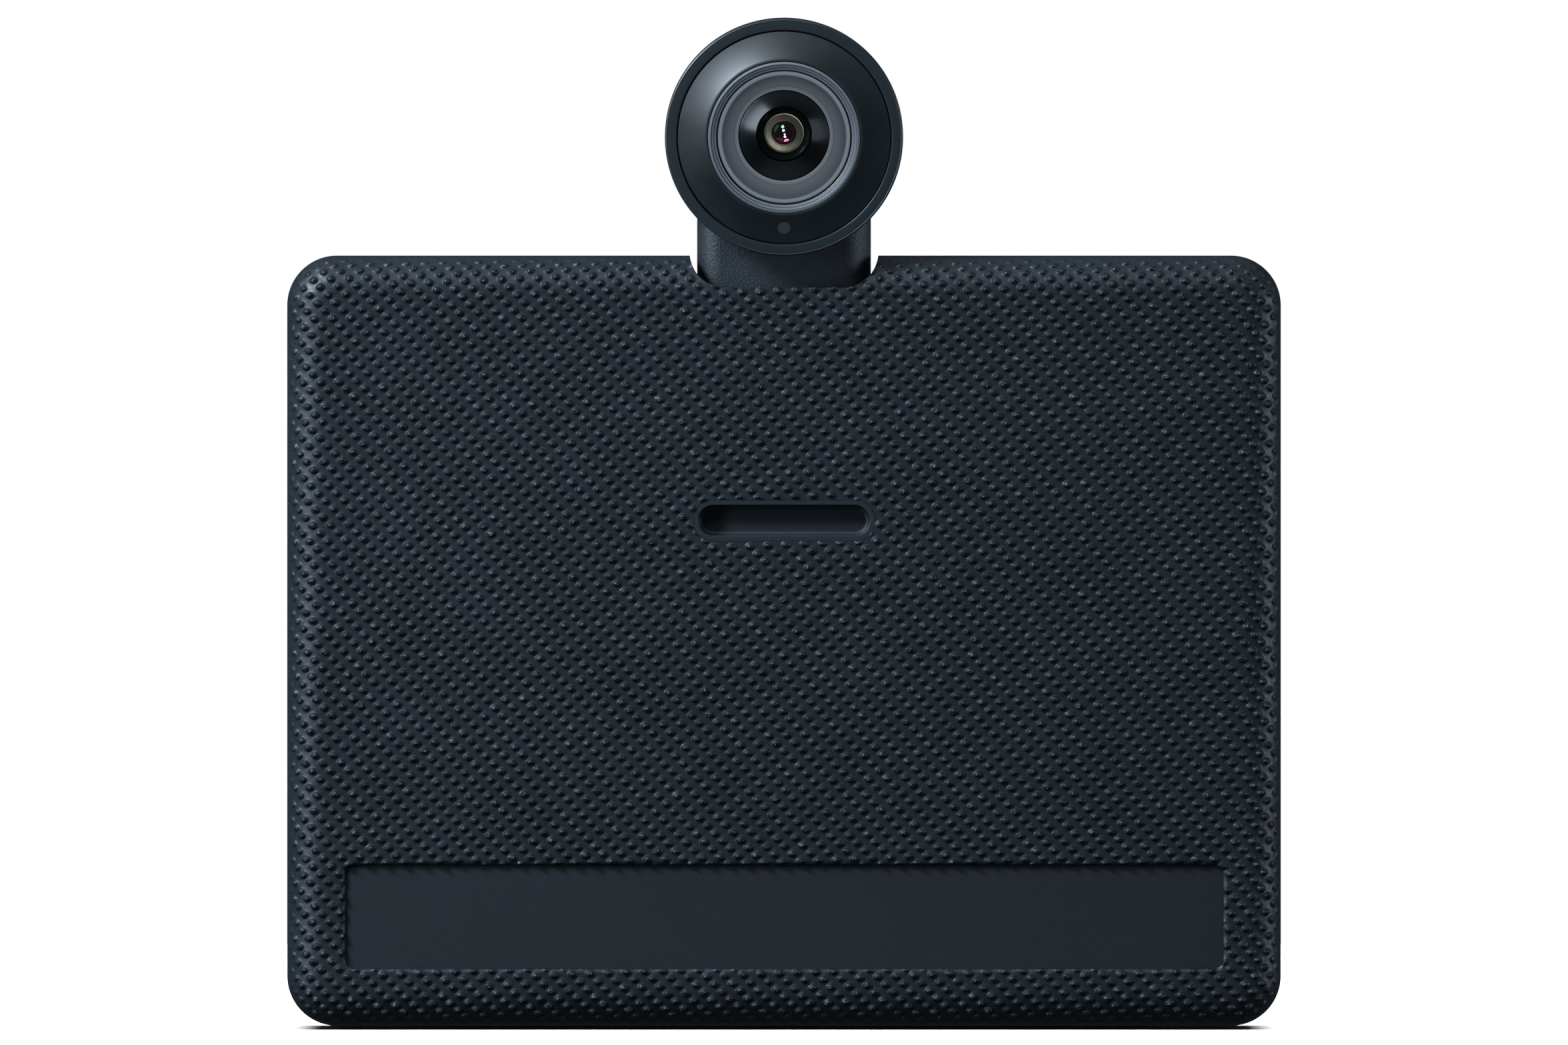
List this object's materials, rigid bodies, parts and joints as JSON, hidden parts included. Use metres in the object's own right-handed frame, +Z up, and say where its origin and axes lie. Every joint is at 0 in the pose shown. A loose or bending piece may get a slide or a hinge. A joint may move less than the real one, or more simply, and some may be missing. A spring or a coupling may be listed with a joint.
{
  "type": "smart display",
  "caption": "Compact wedge-shaped smart display with a studded grip back, a smooth recessed strip, a long slot and a tilting round camera head in a notch on its top edge.",
  "frame": {"origin": "centre of the foot plane, on the table", "axes": "+Z up, +X to the right when looking at the studded back, -Y out of the back (the camera looks this way), +Y out of the screen"},
  "size_m": [0.1492, 0.0428, 0.1517],
  "materials": {
    "grip_skin": "soft-touch, moulded with small studs",
    "case_plastic": "matte, fine grain",
    "smooth_plastic": "satin",
    "control_plastic": "satin",
    "gloss_black": "high gloss",
    "panel_glass": "polished, black border",
    "lens_glass": "coated",
    "gilt_brass": "fine turned",
    "panel_film": "semi gloss",
    "sheet_steel": "brushed",
    "steel": "machined",
    "washer_bronze": "plain",
    "heat_aluminium": "mill",
    "board": "solder mask",
    "chip": "moulded",
    "flex": "film",
    "foot_rubber": "matte",
    "light_pipe": "frosted",
    "lens_black": "matte"
  },
  "bodies": {
    "case": {"backlight_unit": "panel_film", "board_screws": "steel", "bracket_screws": "steel", "button_board": "board", "camera_flex": "flex", "case_screws": "steel", "cover_glass": "panel_glass", "display_flex": "flex", "display_panel": "panel_film", "foot_pad": "foot_rubber", "friction_washers": "washer_bronze", "front_bezel": "case_plastic", "grip_skin": "grip_skin", "heat_spreader": "heat_aluminium", "hinge_bracket": "sheet_steel", "hinge_pin": "steel", "inlet_board": "board", "main_board": "board", "microphone_left": "chip", "microphone_right": "chip", "mid_frame": "sheet_steel", "mid_frame_screws": "steel", "mute_switch": "case_plastic", "pin_clips": "sheet_steel", "power_inlet": "sheet_steel", "processor_chip": "chip", "processor_shield": "sheet_steel", "rear_shell": "case_plastic", "slot_cup": "case_plastic", "smooth_strip": "smooth_plastic", "speaker_box": "case_plastic", "speaker_driver_left": "foot_rubber", "speaker_driver_right": "foot_rubber", "speaker_grille": "case_plastic", "tact_switches": "sheet_steel"},
    "camera": {"camera_housing": "case_plastic", "hinge_barrel": "steel", "head_bezel": "smooth_plastic", "face_plate": "gloss_black", "status_light_pipe": "light_pipe", "status_led": "light_pipe", "ridged_ring": "smooth_plastic", "lens_dish": "smooth_plastic", "lens_carrier": "smooth_plastic", "head_screws": "steel", "lens_cup": "gloss_black", "lens_barrel": "gloss_black", "lens_retainer": "gilt_brass", "front_lens": "lens_glass", "lens_spacer": "lens_black", "rear_lens": "lens_glass", "lens_mount": "smooth_plastic", "image_sensor": "chip", "camera_board": "board"},
    "volume_down": {"volume_down_button": "control_plastic"},
    "volume_up": {"volume_up_button": "control_plastic"},
    "mute": {"mute_slider": "control_plastic"}
  },
  "joints": [
    {"name": "camera_tilt", "type": "hinge", "parent": "case", "child": "camera", "pos_m": [0, -0.0106, 0.107], "axis": [1, 0, 0], "range_deg": [-15, 15]},
    {"name": "volume_down_press", "type": "slide", "parent": "case", "child": "volume_down", "axis": [0, 0, -1], "range_m": [0, 0.0005], "stiffness_N_per_m": 1500},
    {"name": "volume_up_press", "type": "slide", "parent": "case", "child": "volume_up", "axis": [0, 0, -1], "range_m": [0, 0.0005], "stiffness_N_per_m": 1500},
    {"name": "mute_slide", "type": "slide", "parent": "case", "child": "mute", "axis": [1, 0, 0], "range_m": [0, 0.003]}
  ]
}
